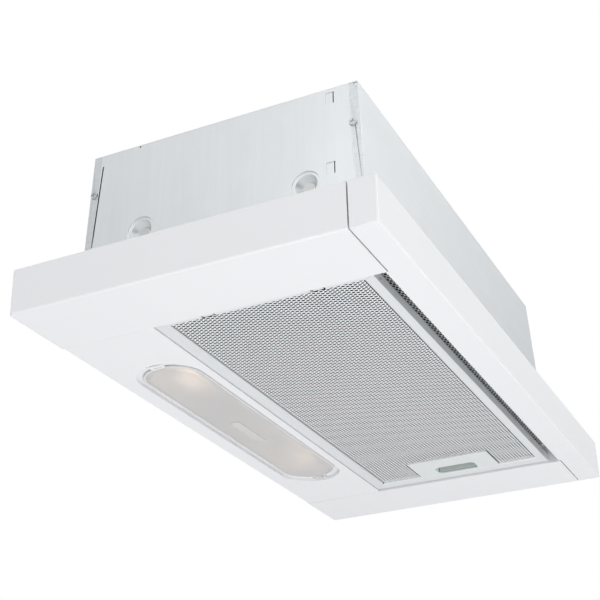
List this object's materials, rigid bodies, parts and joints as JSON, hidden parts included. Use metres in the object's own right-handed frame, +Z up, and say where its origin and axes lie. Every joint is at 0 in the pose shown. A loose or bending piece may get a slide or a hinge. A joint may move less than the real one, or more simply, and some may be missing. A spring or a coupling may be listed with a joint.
{
  "type": "under cabinet range hood",
  "caption": "White slide-out under-cabinet range hood with a galvanised casing, mesh grease filter, lit lamp panel and pull-out front bar.",
  "frame": {"origin": "middle of the underside of the closed hood", "axes": "+X to the right facing the front, +Y to the back, +Z up"},
  "size_m": [0.598, 0.302, 0.21],
  "materials": {
    "white_paint": "smooth satin-gloss white powder coat",
    "white_plastic": "moulded white plastic",
    "galvanised": "galvanised sheet with faint spangle and rolling streaks",
    "zinc": "bright zinc plating",
    "filter_aluminium": "satin anodised",
    "filter_mesh": "expanded aluminium mesh",
    "handle_grey": "light grey moulding",
    "opal_lens": "opal satin diffuser",
    "bulb_glass": "frosted lamp glass",
    "reflector": "white-coated aluminium",
    "dark_plastic": "dark grey moulding",
    "ceramic": "cream moulding",
    "motor_grey": "grey enamel"
  },
  "bodies": {
    "hood": {"casing_side_left": "galvanised", "casing_side_right": "galvanised", "casing_front": "galvanised", "casing_back": "galvanised", "casing_top": "galvanised", "cup_rivets": "zinc", "casing_screws": "zinc", "outlet_collar": "dark_plastic", "outlet_screws": "zinc", "flap_pin": "zinc", "cord_gland": "dark_plastic", "scroll_left": "dark_plastic", "scroll_right": "dark_plastic", "inlet_guard": "dark_plastic", "motor": "motor_grey", "motor_bracket": "galvanised", "terminal_box": "dark_plastic", "terminal_box_lid": "dark_plastic", "terminal_block": "ceramic", "capacitor": "motor_grey", "capacitor_clip": "galvanised", "cap_left": "white_paint", "cap_right": "white_paint", "slide_outer_left": "galvanised", "slide_outer_right": "galvanised", "slide_screws": "zinc", "microswitch": "dark_plastic", "back_rail": "galvanised", "filter_hinge_brackets": "handle_grey", "lamp_panel": "white_paint", "lamp_reflector": "reflector", "lampholders": "ceramic", "bulbs": "bulb_glass"},
    "drawer": {"visor": "white_paint", "drawer_chassis": "galvanised", "slide_inner_left": "galvanised", "slide_inner_right": "galvanised", "wing_left": "white_plastic", "wing_right": "white_plastic", "switch_box": "dark_plastic", "drawer_filter_frame": "filter_aluminium", "drawer_filter_mesh": "filter_mesh", "chassis_screws": "zinc"},
    "slide_link_left": {"slide_middle_left": "galvanised"},
    "slide_link_right": {"slide_middle_right": "galvanised"},
    "grease_filter": {"grease_filter_frame": "filter_aluminium", "grease_filter_mesh": "filter_mesh", "filter_handle": "handle_grey", "filter_hinge_pins": "zinc"},
    "latch": {"filter_latch": "handle_grey"},
    "lens": {"lamp_lens": "opal_lens"},
    "catch": {"lens_catch": "white_plastic"},
    "rotor": {"impeller_blades": "galvanised", "impeller_rings": "galvanised", "impeller_disc": "galvanised", "fan_shaft": "zinc"},
    "front_flap": {"flap_front": "dark_plastic"},
    "back_flap": {"flap_back": "dark_plastic"},
    "light_slider": {"light_knob": "white_plastic"},
    "speed_slider": {"speed_knob": "white_plastic"}
  },
  "joints": [
    {"name": "drawer_slide", "type": "slide", "parent": "hood", "child": "drawer", "axis": [0, -1, 0], "range_m": [0, 0.18]},
    {"name": "slide_link_left_slide", "type": "slide", "parent": "hood", "child": "slide_link_left", "axis": [0, -1, 0], "range_m": [0, 0.09]},
    {"name": "slide_link_right_slide", "type": "slide", "parent": "hood", "child": "slide_link_right", "axis": [0, -1, 0], "range_m": [0, 0.09]},
    {"name": "filter_swing", "type": "hinge", "parent": "hood", "child": "grease_filter", "pos_m": [-0.2244, -0.026, 0.0032], "axis": [0, 1, 0], "range_deg": [0, 80]},
    {"name": "filter_latch_slide", "type": "slide", "parent": "grease_filter", "child": "latch", "axis": [-1, 0, 0], "range_m": [0, 0.003], "stiffness_N_per_m": 400},
    {"name": "lens_swing", "type": "hinge", "parent": "hood", "child": "lens", "pos_m": [0.1596, 0.1045, 0.002], "axis": [0, -1, 0], "range_deg": [0, 75]},
    {"name": "lens_catch_slide", "type": "slide", "parent": "hood", "child": "catch", "axis": [-1, 0, 0], "range_m": [0, 0.002], "stiffness_N_per_m": 300},
    {"name": "fan_spin", "type": "hinge", "parent": "hood", "child": "rotor", "pos_m": [0, -0.0165, 0.103], "axis": [1, 0, 0], "continuous": true},
    {"name": "front_flap_swing", "type": "hinge", "parent": "hood", "child": "front_flap", "pos_m": [0, 0.01, 0.184], "axis": [-1, 0, 0], "range_deg": [0, 75]},
    {"name": "back_flap_swing", "type": "hinge", "parent": "hood", "child": "back_flap", "pos_m": [0, 0.01, 0.184], "axis": [1, 0, 0], "range_deg": [0, 75]},
    {"name": "light_switch_slide", "type": "slide", "parent": "drawer", "child": "light_slider", "axis": [0, 1, 0], "range_m": [0, 0.006]},
    {"name": "speed_switch_slide", "type": "slide", "parent": "drawer", "child": "speed_slider", "axis": [0, 1, 0], "range_m": [0, 0.014]}
  ],
  "couplings": [
    {"joint": "slide_link_left_slide", "follows": "drawer_slide", "ratio": 0.5},
    {"joint": "slide_link_right_slide", "follows": "drawer_slide", "ratio": 0.5}
  ]
}
